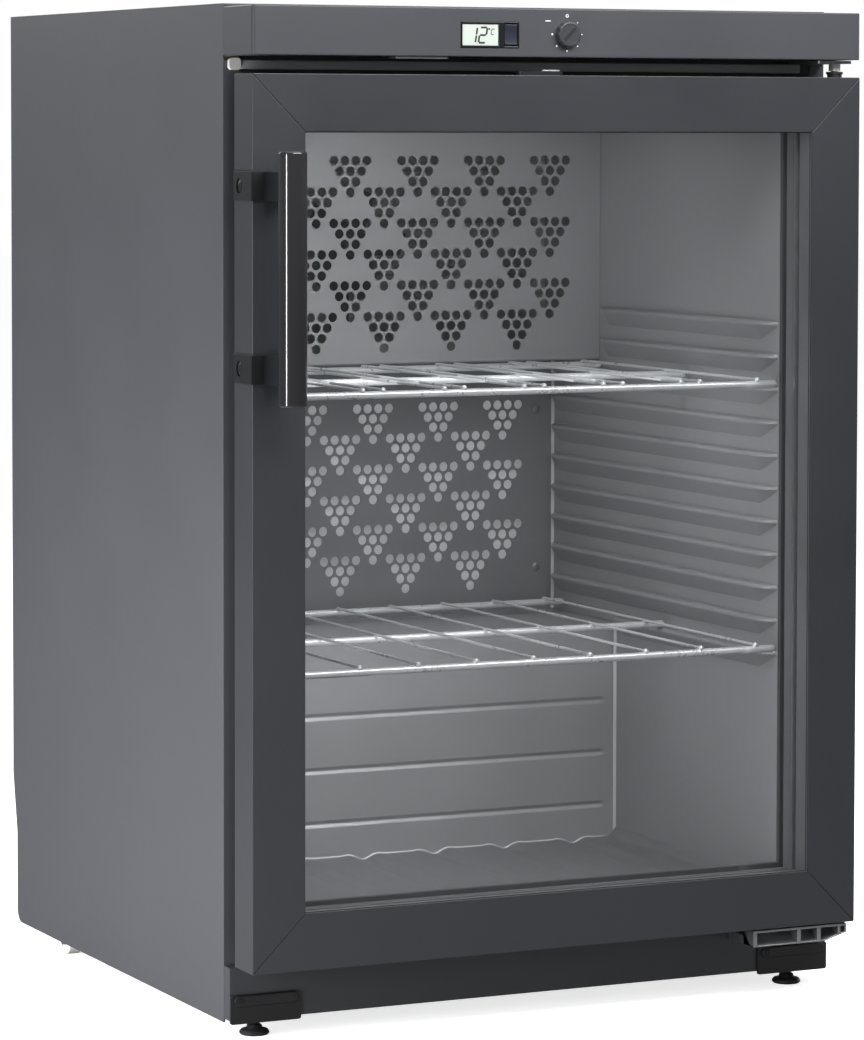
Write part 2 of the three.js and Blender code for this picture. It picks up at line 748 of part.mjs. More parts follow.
// Handle: a round bar on two folded brackets.
function handleBar() {
  const profile = [
    [0, HANDLE_LOW],
    [HANDLE_RADIUS - 2, HANDLE_LOW],
    [HANDLE_RADIUS, HANDLE_LOW + 2],
    [HANDLE_RADIUS, HANDLE_HIGH - 2],
    [HANDLE_RADIUS - 2, HANDLE_HIGH],
    [0, HANDLE_HIGH],
  ];
  const bar = new THREE.LatheGeometry(profile.map(([r, z]) => new THREE.Vector2(r, z)), 24);
  bar.rotateX(Math.PI / 2);
  return toSolid(bar);
}

place(door, "handle_bar", handleBar(), paint(0x121214, 0.2, 0.2), HANDLE_X, HANDLE_Y, 0);

function handleBracket(z0, z1) {
  const sideLeg = box(-302, -300.3, -2.6, 37, z0, z1);
  const frontLeg = box(-302, -270, -2.6, -0.3, z0, z1);
  const standoff = box(-290, -270, -32.5, -0.5, z0, z1);
  const saddle = prismZ(circle(HANDLE_X, HANDLE_Y, HANDLE_RADIUS + GAP), z0 - 1, z1 + 1, 12);
  const middle = (z0 + z1) / 2;
  const recess = prismX(circle(24.5, middle, 6.8), -310, -299, 8);
  return cut(join(sideLeg, frontLeg, standoff), saddle, recess);
}

place(door, "handle_bracket_upper", handleBracket(732.4, 757.3), paint(0x3a3b3e, 0.4, 0.5));
place(door, "handle_bracket_lower", handleBracket(575.6, 600.5), paint(0x3a3b3e, 0.4, 0.5));

// Black bush in the top of the door, round the upper pin.
function doorBush() {
  const flange = bush(7.8, 3.9, 844, 846.3);
  const collar = bush(6.8, 3.9, 841.3, 844.2);
  const sleeve = bush(5.6, 3.9, 834, 841.6);
  return join(flange, collar, sleeve);
}

place(door, "door_bush_upper", doorBush(), paint(0x0f0f10, 0.5, 0));

const boltSlot = box(-20, -1, 9, 15, 840, 850);
const lockPlate = cut(prismZ(roundRect(-44, 1.5, 4, 20, 7.9), 841.3, 844.6, 6), boltSlot);
place(door, "lock_plate", lockPlate, paint(0x8c8e91, 0.35, 0.9));

const bolt = box(-9, 9, -2.5, 2.5, 0, 15.8);
place(door, "lock_bolt", bolt, paint(0xb5b7ba, 0.3, 0.95), -10.5, 12, 830);

export default merchandiser;
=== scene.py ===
import math

import bmesh
import bpy
from mathutils import Matrix, Vector
from mathutils.geometry import delaunay_2d_cdt


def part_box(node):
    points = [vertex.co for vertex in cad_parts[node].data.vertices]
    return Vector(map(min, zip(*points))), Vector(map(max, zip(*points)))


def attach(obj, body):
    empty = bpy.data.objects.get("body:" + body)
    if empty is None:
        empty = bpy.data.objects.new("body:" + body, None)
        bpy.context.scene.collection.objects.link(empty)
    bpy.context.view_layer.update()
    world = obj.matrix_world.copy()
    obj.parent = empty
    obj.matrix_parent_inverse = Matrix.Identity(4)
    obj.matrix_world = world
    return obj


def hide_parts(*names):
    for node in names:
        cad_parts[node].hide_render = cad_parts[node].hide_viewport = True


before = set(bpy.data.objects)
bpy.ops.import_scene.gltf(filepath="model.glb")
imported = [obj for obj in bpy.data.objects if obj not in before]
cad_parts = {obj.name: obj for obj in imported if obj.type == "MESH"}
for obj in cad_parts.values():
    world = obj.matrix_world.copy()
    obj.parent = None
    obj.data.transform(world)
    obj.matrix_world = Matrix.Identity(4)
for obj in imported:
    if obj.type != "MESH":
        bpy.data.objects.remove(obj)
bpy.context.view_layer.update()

# Cabinet frame, in millimetres: X from the middle of the case, Y from the
# door's front face, Z from the floor.
ORIGIN_X = (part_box("side_panel_left")[0].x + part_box("side_panel_right")[1].x) / 2
ORIGIN_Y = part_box("door_frame_left")[0].y


def at(x, y, z):
    return Vector((ORIGIN_X + x / 1000, ORIGIN_Y + y / 1000, z / 1000))


def span(node):
    """A node's box in the cabinet frame, in millimetres: x0, x1, y0, y1, z0, z1."""
    low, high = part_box(node)
    return (
        (low.x - ORIGIN_X) * 1000, (high.x - ORIGIN_X) * 1000,
        (low.y - ORIGIN_Y) * 1000, (high.y - ORIGIN_Y) * 1000,
        low.z * 1000, high.z * 1000,
    )


# ------------------------------------------------------------------ materials

def srgb(*values):
    def one(v):
        v = v / 255
        return v / 12.92 if v <= 0.04045 else ((v + 0.055) / 1.055) ** 2.4
    if len(values) == 1:
        values = values * 3
    return tuple(one(v) for v in values) + (1.0,)


def finish_of(name, colour, rough, metal=0.0, tone=0.08, tone_scale=9.0, vary=0.05,
              grain=0.02, grain_scale=900.0, stretch=(1, 1, 1), specular=0.5, coat=0.0,
              alpha=1.0, glow=0.0):
    """A surface whose tone, gloss and fine relief all come from 3-D noise."""
    material = bpy.data.materials.new(name)
    material.use_nodes = True
    nodes, links = material.node_tree.nodes, material.node_tree.links
    shader = nodes["Principled BSDF"]
    shader.inputs["Metallic"].default_value = metal
    shader.inputs["Specular IOR Level"].default_value = specular
    shader.inputs["Coat Weight"].default_value = coat
    shader.inputs["Coat Roughness"].default_value = 0.08
    shader.inputs["Alpha"].default_value = alpha
    if glow:
        shader.inputs["Emission Color"].default_value = colour
        shader.inputs["Emission Strength"].default_value = glow
    place = nodes.new("ShaderNodeTexCoord")
    mapping = nodes.new("ShaderNodeMapping")
    mapping.inputs["Scale"].default_value = stretch
    links.new(place.outputs["Object"], mapping.inputs["Vector"])
    broad = nodes.new("ShaderNodeTexNoise")
    broad.inputs["Scale"].default_value = tone_scale
    broad.inputs["Detail"].default_value = 6
    links.new(place.outputs["Object"], broad.inputs["Vector"])
    fine = nodes.new("ShaderNodeTexNoise")
    fine.inputs["Scale"].default_value = grain_scale
    fine.inputs["Detail"].default_value = 3
    links.new(mapping.outputs["Vector"], fine.inputs["Vector"])
    ramp = nodes.new("ShaderNodeValToRGB")
    ramp.color_ramp.elements[0].position = 0.3
    ramp.color_ramp.elements[1].position = 0.7
    ramp.color_ramp.elements[0].color = tuple(c * (1 - tone) for c in colour[:3]) + (1,)
    ramp.color_ramp.elements[1].color = tuple(min(1, c * (1 + tone)) for c in colour[:3]) + (1,)
    mixed = nodes.new("ShaderNodeMath")
    mixed.operation = "MULTIPLY_ADD"
    mixed.inputs[1].default_value = 0.35
    links.new(fine.outputs["Fac"], mixed.inputs[0])
    shift = nodes.new("ShaderNodeMath")
    shift.operation = "MULTIPLY"
    shift.inputs[1].default_value = 0.65
    links.new(broad.outputs["Fac"], shift.inputs[0])
    links.new(shift.outputs[0], mixed.inputs[2])
    links.new(mixed.outputs[0], ramp.inputs["Fac"])
    links.new(ramp.outputs["Color"], shader.inputs["Base Color"])
    gloss = nodes.new("ShaderNodeMapRange")
    gloss.inputs["From Min"].default_value = 0.3
    gloss.inputs["From Max"].default_value = 0.7
    gloss.inputs["To Min"].default_value = max(0.02, rough - vary)
    gloss.inputs["To Max"].default_value = min(1.0, rough + vary)
    links.new(mixed.outputs[0], gloss.inputs["Value"])
    links.new(gloss.outputs["Result"], shader.inputs["Roughness"])
    bump = nodes.new("ShaderNodeBump")
    bump.inputs["Strength"].default_value = 0.5
    bump.inputs["Distance"].default_value = grain / 1000
    links.new(fine.outputs["Fac"], bump.inputs["Height"])
    links.new(bump.outputs["Normal"], shader.inputs["Normal"])
    return material


CASE = finish_of("case_paint", srgb(68, 69, 73), 0.42, 0.0, grain=0.02, tone=0.05)
FASCIA = finish_of("fascia_paint", srgb(61, 62, 66), 0.38, 0.0, grain=0.015, tone=0.05)
FRAME = finish_of("frame_satin", srgb(54, 55, 59), 0.34, 0.25, grain=0.012, tone=0.05,
                  grain_scale=700, stretch=(1, 1, 0.06))
FRAME_X = finish_of("frame_satin_cross", srgb(54, 55, 59), 0.34, 0.25, grain=0.012,
                    tone=0.05, grain_scale=700, stretch=(0.06, 1, 1))
LINER = finish_of("liner_steel", srgb(146, 147, 150), 0.4, 0.4, grain=0.02, tone=0.06,
                  grain_scale=600, stretch=(1, 0.05, 1))
FLOORSHEET = finish_of("floor_steel", srgb(112, 113, 116), 0.4, 0.4, grain=0.02, tone=0.06,
                       grain_scale=600, stretch=(1, 0.05, 1))
BACK = finish_of("duct_steel", srgb(156, 157, 160), 0.36, 0.45, grain=0.02, tone=0.06,
                 grain_scale=600, stretch=(0.05, 1, 1))
# A darker copy of the duct steel for the lower sheet, standing in for the shade it sits in:
# painted shade.
BACK_SHADED = finish_of("rear_duct_steel_shaded", srgb(118, 119, 122), 0.36, 0.45, grain=0.02,
                     tone=0.06, grain_scale=600, stretch=(0.05, 1, 1))
REARWALL = finish_of("rear_wall_paint", srgb(190, 192, 195), 0.5, 0.0, grain=0.03)
MOUTH = finish_of("mouth_strip", srgb(58, 59, 62), 0.5, 0.0)
# Steel for the rail, set much lighter than its own tone to make up for the shade under the
# fascia: painted light.
RAIL_LIGHTENED = finish_of("rail_steel", srgb(176, 178, 182), 0.4, 0.3, tone=0.06)
DARKPLATE = finish_of("lock_plate_black", srgb(46, 47, 50), 0.3, 0.5, tone=0.1)
ZINC = finish_of("zinc_steel", srgb(150, 151, 153), 0.42, 0.85, tone=0.14, tone_scale=60,
                 grain=0.03, grain_scale=400)
GALV = finish_of("galvanised", srgb(140, 142, 144), 0.45, 0.8, tone=0.16, tone_scale=40,
                 vary=0.1)
PLINTH = finish_of("plinth_paint", srgb(56, 57, 61), 0.42, 0.0, tone=0.06)
BLACK = finish_of("black_moulded", srgb(26, 26, 28), 0.42, 0.0, grain=0.03, grain_scale=1500)
GLOSSBLACK = finish_of("handle_lacquer", srgb(32, 32, 35), 0.14, 0.0, grain=0.004,
                       tone=0.1, vary=0.03, coat=0.6)
BRACKET = finish_of("bracket_paint", srgb(27, 28, 31), 0.36, 0.2, tone=0.07)
WHITE = finish_of("white_moulded", srgb(226, 226, 222), 0.5, 0.0, grain=0.02, tone=0.03)
FOOT = finish_of("foot_metal", srgb(62, 62, 64), 0.38, 0.6, tone=0.12, tone_scale=80)
FOAM = finish_of("foam", srgb(214, 202, 160), 0.9, 0.0, tone=0.1, grain=0.2, grain_scale=300)
CHROME = finish_of("bright_wire", srgb(196, 198, 201), 0.3, 0.45, tone=0.05, tone_scale=40,
                   vary=0.05, grain=0.001, grain_scale=300)
# Light grey that stands in for the highlight on corners and on the floor's rear edge: painted
# highlight.
EDGE_HIGHLIGHT = finish_of("painted_highlight_edge", srgb(178, 180, 183), 0.4, 0.2, grain=0.002, tone=0.05)
RUBBER = finish_of("gasket_rubber", srgb(22, 22, 23), 0.75, 0.0, grain=0.05)
SPACER = finish_of("spacer_aluminium", srgb(128, 130, 133), 0.4, 0.6, grain=0.02,
                   grain_scale=500)
DOORLINER = finish_of("door_liner", srgb(90, 91, 95), 0.55, 0.0)
CAST = finish_of("cast_metal", srgb(150, 151, 153), 0.4, 0.8, tone=0.12, tone_scale=70,
                 grain=0.06, grain_scale=500, vary=0.1)
BEZEL = finish_of("bezel_gloss", srgb(20, 21, 23), 0.2, 0.0, grain=0.006, vary=0.04)
LCD = finish_of("lcd_face", srgb(186, 194, 186), 0.3, 0.0, tone=0.03, grain=0.003,
                vary=0.04, coat=0.4)
DIGIT = finish_of("lcd_segment", srgb(24, 28, 26), 0.5, 0.0, tone=0.1)
ROCKER = finish_of("rocker_gloss", srgb(38, 41, 50), 0.22, 0.0, grain=0.006)
KNOB = finish_of("knob_moulded", srgb(52, 53, 57), 0.34, 0.0, grain=0.02, grain_scale=1200)
MARK = finish_of("print_white", srgb(225, 226, 228), 0.5, 0.0, tone=0.03)
FINS = finish_of("coil_fins", srgb(150, 152, 154), 0.4, 0.8, tone=0.1, grain_scale=350,
                 stretch=(8, 1, 0.2))
COMPRESSOR = finish_of("compressor_enamel", srgb(20, 20, 22), 0.3, 0.1, tone=0.15)
TRAY = finish_of("tray_moulded", srgb(40, 40, 43), 0.5, 0.0)
GRILLE = finish_of("grille_paint", srgb(56, 57, 60), 0.5, 0.2)
GLASS = finish_of("pane_glass", srgb(90, 96, 96), 0.03, 0.0, tone=0.04, tone_scale=3,
                  vary=0.01, grain=0.0, alpha=0.03, specular=1.0)


# ------------------------------------------------------------------ mesh tools

def place(u, v, w, axis):
    """A 2-D point (u, v) at height w along the axis, as x, y, z."""
    if axis == "x":
        return (w, u, v)
    if axis == "y":
        return (u, w, v)
    return (u, v, w)


def prism(loop, axis, low, high):
    n = len(loop)
    verts = [place(u, v, low, axis) for u, v in loop]
    verts += [place(u, v, high, axis) for u, v in loop]
    faces = [list(range(n))[::-1], list(range(n, 2 * n))]
    faces += [[i, (i + 1) % n, n + (i + 1) % n, n + i] for i in range(n)]
    return verts, faces


def block(x0, x1, y0, y1, z0, z1):
    return prism([(x0, y0), (x1, y0), (x1, y1), (x0, y1)], "z", z0, z1)


def rounded(u0, u1, v0, v1, radius, steps=6):
    loop = []
    for cu, cv, start in ((u1 - radius, v0 + radius, -90), (u1 - radius, v1 - radius, 0),
                          (u0 + radius, v1 - radius, 90), (u0 + radius, v0 + radius, 180)):
        for i in range(steps + 1):
            a = math.radians(start + 90 * i / steps)
            loop.append((cu + radius * math.cos(a), cv + radius * math.sin(a)))
    return loop


def ring_loop(cu, cv, radius, sides, turn=0.0):
    return [(cu + radius * math.cos(turn + 2 * math.pi * i / sides),
             cv + radius * math.sin(turn + 2 * math.pi * i / sides)) for i in range(sides)]


def pierced(outer, holes, axis, low, high):
    """A flat sheet with an outline and holes, as one closed body."""
    points, loops = [], []
    for loop in [outer] + holes:
        start = len(points)
        points += [Vector(p) for p in loop]
        loops.append(list(range(start, len(points))))
    made = delaunay_2d_cdt(points, [], loops, 2, 1e-6)
    flat, triangles = made[0], made[2]
    n = len(flat)
    verts = [place(p.x, p.y, low, axis) for p in flat]
    verts += [place(p.x, p.y, high, axis) for p in flat]
    faces = [list(t) for t in triangles] + [[i + n for i in reversed(t)] for t in triangles]
    seen = {}
    for t in triangles:
        for i in range(len(t)):
            edge = (t[i], t[(i + 1) % len(t)])
            if (edge[1], edge[0]) in seen:
                del seen[(edge[1], edge[0])]
            else:
                seen[edge] = True
    for a, b in seen:
        faces.append([b, a, a + n, b + n])
    return verts, faces


def loft(rings, cap=True):
    """Rings of equally many points, joined one to the next."""
    n = len(rings[0])
    verts = [p for ring in rings for p in ring]
    faces = []
    for k in range(len(rings) - 1):
        for i in range(n):
            j = (i + 1) % n
            faces.append([k * n + i, k * n + j, (k + 1) * n + j, (k + 1) * n + i])
    if cap:
        faces.append(list(range(n))[::-1])
        faces.append(list(range((len(rings) - 1) * n, len(rings) * n)))
    return verts, faces


def lathe(profile, axis, centre, sides=40):
    """A profile of (radius, height) turned about an axis through centre."""
    rings = []
    for radius, height in profile:
        ring = []
        for i in range(sides):
            a = 2 * math.pi * i / sides
            u, v = max(radius, 0.01) * math.cos(a), max(radius, 0.01) * math.sin(a)
            x, y, z = place(u, v, height, axis)
            ring.append((centre[0] + x, centre[1] + y, centre[2] + z))
        rings.append(ring)
    return loft(rings)


def tube(path, radius, sides=14, round_ends=True):
    """A round bar along a path of points, with rounded ends."""
    path = [Vector(p) for p in path]
    stations = []
    for i, p in enumerate(path):
        before, after = path[max(i - 1, 0)], path[min(i + 1, len(path) - 1)]
        stations.append((p, (after - before).normalized(), radius))
    if round_ends:
        head, tail = [], []
        for t in (1.0, 0.9, 0.7, 0.4):
            back = radius * t
            r = radius * math.sqrt(max(0.0004, 1 - t * t))
            head.append((path[0] - stations[0][1] * back, stations[0][1], r))
            tail.append((path[-1] + stations[-1][1] * back, stations[-1][1], r))
        stations = head + stations + tail[::-1]
    side = Vector((0, 0, 1)) if abs(stations[0][1].z) < 0.9 else Vector((1, 0, 0))
    rings = []
    for p, ahead, r in stations:
        side = (side - ahead * side.dot(ahead)).normalized()
        across = ahead.cross(side)
        rings.append([tuple(p + (side * math.cos(2 * math.pi * k / sides)
                                 + across * math.sin(2 * math.pi * k / sides)) * r)
                      for k in range(sides)])
    return loft(rings)


def gather(*parts):
    verts, faces = [], []
    for part_verts, part_faces in parts:
        start = len(verts)
        verts += part_verts
        faces += [[i + start for i in f] for f in part_faces]
    return verts, faces


def piece(name, parts, body, material, replaces=(), bevel=0.0, steps=2,
          sharp=35.0, flat=False):
    """One visible piece, made from parts, with its edges bevelled in the mesh."""
    verts, faces = parts
    mesh = bpy.data.meshes.new(name)
    mesh.from_pydata([at(*v) for v in verts], [], faces)
    work = bmesh.new()
    work.from_mesh(mesh)
    bmesh.ops.recalc_face_normals(work, faces=work.faces)
    if bevel:
        edges = [e for e in work.edges
                 if len(e.link_faces) == 2 and e.calc_face_angle(0) > math.radians(28)]
        bmesh.ops.bevel(work, geom=edges, offset=bevel / 1000, offset_type="OFFSET",
                        segments=steps, profile=0.5, affect="EDGES", clamp_overlap=True)
    work.to_mesh(mesh)
    work.free()
    if not flat:
        mesh.polygons.foreach_set("use_smooth", [True] * len(mesh.polygons))
        mesh.set_sharp_from_angle(angle=math.radians(sharp))
    mesh.materials.append(material)
    made = bpy.data.objects.new(name, mesh)
    bpy.context.scene.collection.objects.link(made)
    if not flat:
        weighted = made.modifiers.new("weighted", "WEIGHTED_NORMAL")
        weighted.keep_sharp = True
    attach(made, body)
    if replaces:
        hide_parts(*replaces)
    return made


def dress(node, material, bevel=0.5, steps=2):
    """A CAD node that stays as it is, with its finish and softened edges."""
    node_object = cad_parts[node]
    node_object.data.materials.clear()
    node_object.data.materials.append(material)
    if bevel:
        weld = node_object.modifiers.new("weld", "WELD")
        weld.merge_threshold = 0.00001
        soft = node_object.modifiers.new("soft_edge", "BEVEL")
        soft.width = bevel / 1000
        soft.segments = steps
        soft.limit_method = "ANGLE"
        soft.angle_limit = math.radians(35)


# ------------------------------------------------------ case and lower front

for node in ("side_panel_left", "side_panel_right", "top_panel"):
    dress(node, CASE, 0.4, 3)
dress("rear_panel", GALV, 0.3)
dress("base_pan", GALV, 0.3)
dress("insulation_shell", FOAM, 0)
dress("front_foot_rail", GALV, 0.3)
dress("roller_axle", ZINC, 0.3)
dress("roller_left", WHITE, 0.8, 3)
dress("roller_right", WHITE, 0.8, 3)
dress("plinth_panel", PLINTH, 0.4)
# The rail's lightened steel stands in for light in the shaded gap: painted light.
dress("top_cross_rail", RAIL_LIGHTENED, 0.4)
dress("hinge_hole_plug", WHITE, 0.8, 3)
dress("liner_front_frame", MOUTH, 0.4)


def front_strips():
    """Dark strips in the gaps round the mouth, a painted shadow that hides the foam's edges, and
    the plinth's top flange.
    """
    half, rear = 284.2, 67.8
    rail_end, rail_low, rail_high = 274.6, 845.1, 853.4
    # Black strips where the gaps round the mouth only hold shade: painted shadow.
    upper = block(-half, half, 65.2, rear, rail_high, 899.6)
    piece("gap_strip", upper, "cabinet", BLACK)
    lower = block(-half, half, 66.1, rear, 843.7, rail_low)
    corner = block(rail_end, half, 66.1, rear, rail_low, rail_high)
    piece("gap_strip_lower", gather(lower, corner), "cabinet", BLACK)
    flange_half, flange_low, flange_high = 298.1, 61.9, 63.3
    flange = block(-flange_half, flange_half, 53.7, 64.8, flange_low, flange_high)
    seal = block(-half, half, 64.9, rear, flange_low, 65.8)
    piece("plinth_flange", gather(flange, seal), "cabinet", PLINTH)


def screw_head(centre, axis, radius, depth, direction):
    """A pan head with a round recess in its top; direction is the way that it faces."""
    profile = [(radius, 0), (radius, depth * 0.45), (radius * 0.8, depth * 0.85),
               (radius * 0.5, depth), (radius * 0.45, depth * 0.7), (0, depth * 0.7)]
    return lathe([(r, h * direction) for r, h in profile], axis, centre, 20)


def threaded_foot(name, node):
    """A dished foot pad on a threaded stem, with its hexagon nut."""
    x0, x1, y0, y1, _, z1 = span(node)
    cx, cy, r = (x0 + x1) / 2, (y0 + y1) / 2, (x1 - x0) / 2
    crest, root, turn = 4.3, 3.7, 1.25
    profile = [(0, 0), (r - 1.2, 0), (r, 1.2), (r, 2.6), (r - 1.4, 4.4), (8.6, 5.2), (7.0, 6.2),
               (6.6, 8.2), (5.2, 9.0), (crest, 9.6)]
    z = 10.0
    while z < z1 - 1.5:
        profile += [(crest, z), (root, z + 0.6)]
        z += turn
    profile += [(3.6, z1), (0, z1)]
    nut = prism(ring_loop(cx, cy, 7.6, 6, 0.3), "z", 11.6, 17.2)
    piece(name, gather(lathe(profile, "z", (cx, cy, 0), 36), nut), node, FOOT,
          replaces=[node], sharp=50)


front_strips()
threaded_foot("screw_foot_left", "foot_left")
threaded_foot("screw_foot_right", "foot_right")


def corner_cover(name, node, screw_at):
    """A moulded cover over a plinth corner: plate, raised pad and one screw."""
    x0, x1, y0, y1, z0, z1 = span(node)
    pad_low, pad_high = 29.3, 39.3
    plate = prism(rounded(x0, x1, z0, z1, 2.2, 5), "y", y0 + 2, y1)
    rings = []
    for inset, y in ((0.0, y0 + 2.05), (0.0, y0 + 1.0), (0.5, y0 + 0.3), (1.4, y0)):
        loop = rounded(x0 + 3 + inset, x1 - 3 - inset, pad_low + inset, pad_high - inset,
                       4.9 - inset, 8)
        rings.append([(u, y, v) for u, v in loop])
    pad = loft(rings)
    screw = screw_head((screw_at, y0 + 0.1, (pad_low + pad_high) / 2), "y", 3.1, 1.0, -1)
    piece(name, gather(plate, pad), "cabinet", BLACK, replaces=[node],
          sharp=40)
    piece(name + "_screw", screw, "cabinet", BRACKET, sharp=50)


corner_cover("corner_cap_left", "corner_cover_left", -291)
corner_cover("corner_cap_right", "corner_cover_right", 236)

# ------------------------------------------------------------ chamber: sheets

dress("liner_ceiling", LINER, 0.3)
dress("liner_rear_wall", REARWALL, 0)

# Chamber planes, in millimetres: faces of the side walls, the root of their
# ribs, the floor, the step's front and top, the walls' rear end and ceiling.
WALL_INNER = 256.5
WALL_OUTER = 259.0
WALL_SKIN = 256.3
RIB_ROOT = 256.9
FLOOR_TOP = 88.8
STEP_FRONT = 389.0
STEP_TOP = 303.3
WALL_REAR = 546.7
CEILING = 791
MOUTH_FRONT = 68


def rib_rows():
    """Heights of the shelf ribs, from the highest down."""
    return [610 - 30.6 * i for i in range(11)]


def wall_with_ribs(name, node, side):
    """A side wall with its pressed shelf ribs; a rib's nose is up, its long face below."""
    inner, outer = side * WALL_INNER, side * WALL_OUTER
    foot, step_front, step_top = FLOOR_TOP + 0.3, STEP_FRONT - 0.3, STEP_TOP + 0.3
    outline = [(MOUTH_FRONT, foot), (step_front, foot), (step_front, step_top),
               (WALL_REAR, step_top), (WALL_REAR, CEILING), (MOUTH_FRONT, CEILING)]
    parts = [prism(outline, "x", min(inner, outer), max(inner, outer))]
    reach = 10.0
    for z in rib_rows():
        rear = 382 if z < 313 else 414 if z > 564 else 521
        front = 70
        rings = []
        for y, out, drop in ((front, 0.04, 0.0), (front + 3, 0.5, 0.06), (front + 8, 0.85, 0.24),
                             (front + 16, 1.0, 0.5), (front + 24, 1.0, 0.76),
                             (front + 32, 1.0, 1.0), (rear - 14, 1.0, 1.0),
                             (rear - 8, 0.94, 0.94), (rear - 4, 0.75, 0.75),
                             (rear - 1.5, 0.42, 0.42), (rear, 0.04, 0.04)):
            depth = reach * out
            high = z + 6.5
            low = z + 2 - 14.0 * drop
            nose = z + 3.4
            ring = [(side * RIB_ROOT, y, low)]
            for t, k in ((0.1, 0.06), (0.5, 0.48), (0.88, 0.92), (0.97, 1.0)):
                ring.append((side * (RIB_ROOT - 0.4 - depth * k), y, low + (nose - low) * t))
            for t, k in ((0.35, 1.0), (0.75, 0.93), (0.95, 0.8), (1.0, 0.6), (1.0, 0.0)):
                ring.append((side * (RIB_ROOT - 0.4 - depth * k), y, nose + (high - nose) * t))
            rings.append(ring)
        parts.append(loft(rings))
    piece(name, gather(*parts), "cabinet", LINER, replaces=[node],
          sharp=48)


wall_with_ribs("ribbed_wall_left", "liner_left_wall", -1)
wall_with_ribs("ribbed_wall_right", "liner_right_wall", 1)


def corner_highlight_strips():
    """Bright strips where the side walls meet the step and the rear sheet: a painted highlight
    on each corner.
    """
    for name, side in (("corner_highlight_left", -1), ("corner_highlight_right", 1)):
        parts = []
        for y, z0, z1 in ((388.7, 89.6, 302.8), (526.7, 304.2, 563.6)):
            wall = side * WALL_SKIN
            loop = [(wall, y - 2.4), (wall, y - 0.1), (wall - side * 2.4, y - 0.1),
                    (wall - side * 1.5, y - 0.7), (wall - side * 0.7, y - 1.5)]
            parts.append(prism(loop, "z", z0, z1))
        piece(name, gather(*parts), "cabinet", EDGE_HIGHLIGHT, sharp=60)


corner_highlight_strips()


def chamber_floor():
    """Floor sheet with shallow troughs that run back to front, and its front sill."""
    x0, x1 = span("liner_floor")[:2]
    top, pitch, half, cove = FLOOR_TOP, 76.0, WALL_SKIN, 11.0
    trough, offset = 4.4, 18
    columns = [x0] + [-half + 3.05 * i for i in range(169)] + [x1]
    columns = [x for x in columns if abs(x) <= half or x in (x0, x1)]

    def height(x, share):
        """Rise of the sheet at x: the cove by the walls, a ridge beside each trough."""
        edge = abs(x) - (half - cove)
        if edge > 0:
            reach = min(edge, cove)
            return cove - math.sqrt(max(0.0, cove * cove - reach * reach))
        d = abs(((x - offset) / pitch) % 1.0 - 0.5) * pitch
        bump = 0.9 * math.exp(-((d - 17) / 4.0) ** 2)
        dip = -trough * (1 + math.cos(math.pi * min(d, 13) / 13)) / 2
        return share * (bump + dip)

    rings = []
    for y, share in ((70.6, 0.0), (90, 0.0), (150, 0.12), (250, 0.3), (330, 0.6), (375, 1.0),
                     (388.6, 1.0)):
        ring = [(x, y, top + 1.6 * share + height(x, share)) for x in columns]
        ring += [(x1, y, top - 3.2), (x0, y, top - 3.2)]
        rings.append(ring)
    sheet = loft(rings)
    # A raised bead along the floor's rear edge, made bright by a painted highlight.
    bead = []
    for x in columns:
        if abs(x) > half - cove:
            continue
        z = top + 1.6 + height(x, 1.0)
        bead.append([(x, 387.4, z - 0.3), (x, 387.6, z + 0.7), (x, 388.2, z + 1.1),
                     (x, 388.7, z + 0.7), (x, 388.7, z - 0.3)])
    piece("floor_rear_edge", loft(bead), "cabinet", EDGE_HIGHLIGHT, sharp=70)
    lip = block(-256.2, 256.2, MOUTH_FRONT, 70.5, top - 2.5, 114.3)
    piece("chamber_floor", gather(sheet, lip), "cabinet", FLOORSHEET, replaces=["liner_floor"],
          sharp=40)


chamber_floor()


def step_cover():
    """The step over the machine space: rolled top edge and three pressed grooves."""
    front, top, foot, rear = STEP_FRONT, STEP_TOP, 85.5, 546.6
    section = []

    def go(y, z):
        section.append((y, z))

    go(front, foot)
    for z in (123.3, 175.3, 227.4):
        go(front, z - 4.6)
        go(front + 0.6, z - 3.0)
        go(front + 2.0, z - 1.2)
        go(front + 2.2, z)
        go(front + 1.4, z + 1.4)
        go(front + 0.3, z + 2.6)
        go(front, z + 4.0)
    for i in range(7):
        a = math.radians(180 - 15 * i)
        go(front + 6 + 6 * math.cos(a), top - 6 + 6 * math.sin(a))
    go(rear, top)
    go(rear, top - 2.5)
    go(front + 6, top - 2.5)
    go(front + 3.2, top - 6)
    go(front + 3.2, foot)
    rings = []
    for x, share in ((-258.9, 0), (-245, 0), (-241, 0.5), (-238, 1), (238, 1), (241, 0.5),
                     (245, 0), (258.9, 0)):
        ring = []
        for y, z in section:
            if y < front + 2.5 and z < top - 10 and y > front:
                ring.append((x, front + (y - front) * share, z))
            else:
                ring.append((x, y, z))
        rings.append(ring)
    piece("step_cover", loft(rings), "cabinet", LINER, replaces=["liner_step"],
          sharp=55)


step_cover()

# ------------------------------------------------- perforated air duct sheets

# Holes beside each other, from line to line, and their radius; clusters beside
# each other and from row to row; how far to the side a cluster may stand.
HOLE_PITCH = 11.7
HOLE_LINE = 10.25
HOLE_RADIUS = 4.8
CLUSTER_PITCH = 72.3
CLUSTER_ROW = 30.35
CLUSTER_LIMIT = 228


def vents(first_line, rows, right):
    """Plain triangular clusters of ten round holes, in offset rows."""
    holes = []
    for row in range(rows):
        z_line = first_line - row * CLUSTER_ROW
        for i in range(7):
            cx = right - (i + row % 2 / 2) * CLUSTER_PITCH
            if abs(cx) > CLUSTER_LIMIT:
                continue
            for line in range(4):
                for k in range(4 - line):
                    x = cx + (k - (3 - line) / 2) * HOLE_PITCH
                    holes.append(ring_loop(x, z_line - line * HOLE_LINE, HOLE_RADIUS, 14))
    return holes


